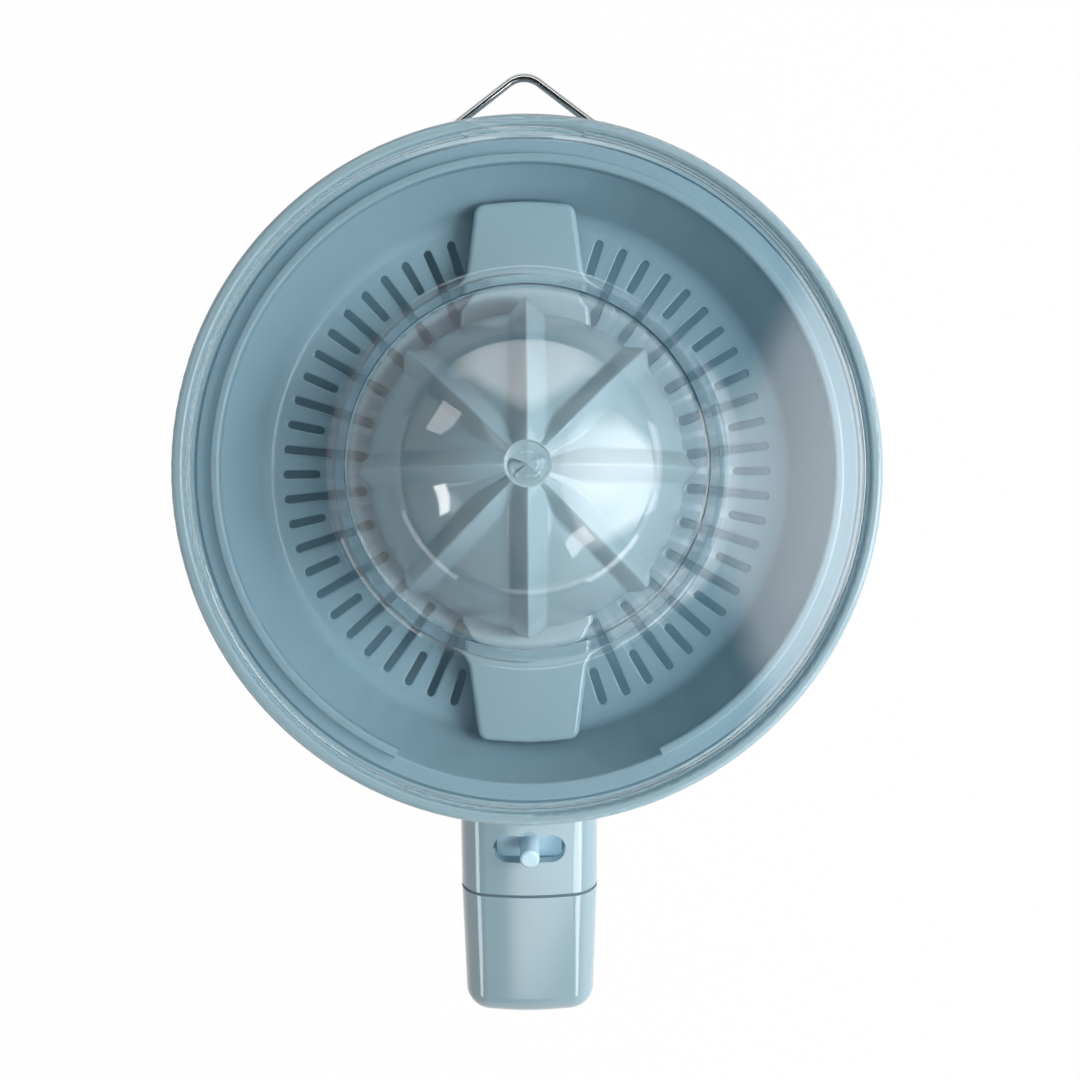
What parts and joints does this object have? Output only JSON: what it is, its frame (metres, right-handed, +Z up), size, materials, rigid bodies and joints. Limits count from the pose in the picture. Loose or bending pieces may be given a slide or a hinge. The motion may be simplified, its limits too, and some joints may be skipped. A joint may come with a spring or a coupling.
{
  "type": "citrus press juicer",
  "caption": "Upright electric citrus press with a spouted juice bowl, slotted strainer, ridged turning reamer with wings, clear domed cover and wire hanger.",
  "frame": {"origin": "on the table under the reamer's axis", "axes": "+Z up along the reamer's axis, -Y towards the spout"},
  "size_m": [0.16, 0.2221, 0.2421],
  "materials": {
    "blue_plastic": "glossy",
    "clear_plastic": "clear",
    "wire": "polished",
    "rubber": "matte",
    "steel": "satin",
    "bearing_metal": "satin",
    "copper": "enamelled",
    "magnet": "sintered",
    "gear_plastic": "moulded",
    "switch_plastic": "moulded"
  },
  "bodies": {
    "base": {"motor_housing": "blue_plastic", "base_plate": "blue_plastic", "foot_1": "rubber", "foot_2": "rubber", "foot_3": "rubber", "foot_4": "rubber", "base_screw_1": "steel", "base_screw_2": "steel", "base_screw_3": "steel", "cord_gland": "rubber", "gear_deck": "gear_plastic", "deck_screw_1": "steel", "deck_screw_2": "steel", "deck_screw_3": "steel", "motor_can": "steel", "motor_cap": "steel", "stator_coil": "copper", "rotor_bush_upper": "bearing_metal", "rotor_bush_lower": "bearing_metal", "idler_axle": "steel", "idler_clip": "steel", "shaft_bush": "bearing_metal", "shaft_seal": "rubber", "microswitch": "switch_plastic"},
    "output": {"output_gear": "gear_plastic", "return_spring": "steel"},
    "shaft": {"drive_shaft": "steel"},
    "idler": {"idler_gear": "gear_plastic"},
    "rotor": {"rotor_shaft": "steel", "rotor_magnet": "magnet", "motor_pinion": "gear_plastic"},
    "plunger": {"switch_plunger": "switch_plastic"},
    "bowl": {"juice_bowl": "blue_plastic", "strainer": "blue_plastic", "spout_seal": "rubber", "spout_tip": "blue_plastic"},
    "sweeper": {"sweeper": "blue_plastic"},
    "reamer": {"reamer": "blue_plastic"},
    "lid": {"dust_cover": "clear_plastic"},
    "slider": {"drip_slider": "blue_plastic"},
    "bail": {"hanging_bail": "wire"}
  },
  "joints": [
    {"name": "output_spin", "type": "hinge", "parent": "base", "child": "output", "pos_m": [0, 0, 0.133], "axis": [0, 0, 1], "continuous": true},
    {"name": "shaft_press", "type": "slide", "parent": "output", "child": "shaft", "axis": [0, 0, -1], "range_m": [0, 0.0025], "stiffness_N_per_m": 600, "springref_m": -0.008, "deforming": ["return_spring"]},
    {"name": "idler_spin", "type": "hinge", "parent": "base", "child": "idler", "pos_m": [0.0245, 0, 0.125], "axis": [0, 0, 1], "continuous": true},
    {"name": "rotor_spin", "type": "hinge", "parent": "base", "child": "rotor", "pos_m": [0, 0, 0.095], "axis": [0, 0, 1], "continuous": true},
    {"name": "plunger_press", "type": "slide", "parent": "base", "child": "plunger", "axis": [0, 0, -1], "range_m": [0, 0.0025]},
    {"name": "bowl_lift", "type": "slide", "parent": "base", "child": "bowl", "axis": [0, 0, 1], "range_m": [0, 0.06]},
    {"name": "lid_lift", "type": "slide", "parent": "bowl", "child": "lid", "axis": [0, 0, 1], "range_m": [0, 0.07]},
    {"name": "sweeper_spin", "type": "hinge", "parent": "bowl", "child": "sweeper", "pos_m": [0, 0, 0.183], "axis": [0, 0, 1], "continuous": true},
    {"name": "reamer_press", "type": "slide", "parent": "sweeper", "child": "reamer", "axis": [0, 0, -1], "range_m": [0, 0.0025]},
    {"name": "drip_slide", "type": "slide", "parent": "bowl", "child": "slider", "axis": [1, 0, 0], "range_m": [-0.0052, 0.0052]},
    {"name": "bail_swing", "type": "hinge", "parent": "bowl", "child": "bail", "pos_m": [0, 0.0718, 0.188], "axis": [1, 0, 0], "range_deg": [-75, 15]}
  ],
  "couplings": [
    {"joint": "idler_spin", "follows": "output_spin", "ratio": -2.5},
    {"joint": "rotor_spin", "follows": "output_spin", "ratio": 6.25},
    {"joint": "sweeper_spin", "follows": "output_spin", "ratio": 1},
    {"joint": "plunger_press", "follows": "shaft_press", "ratio": 1},
    {"joint": "reamer_press", "follows": "shaft_press", "ratio": 1}
  ]
}
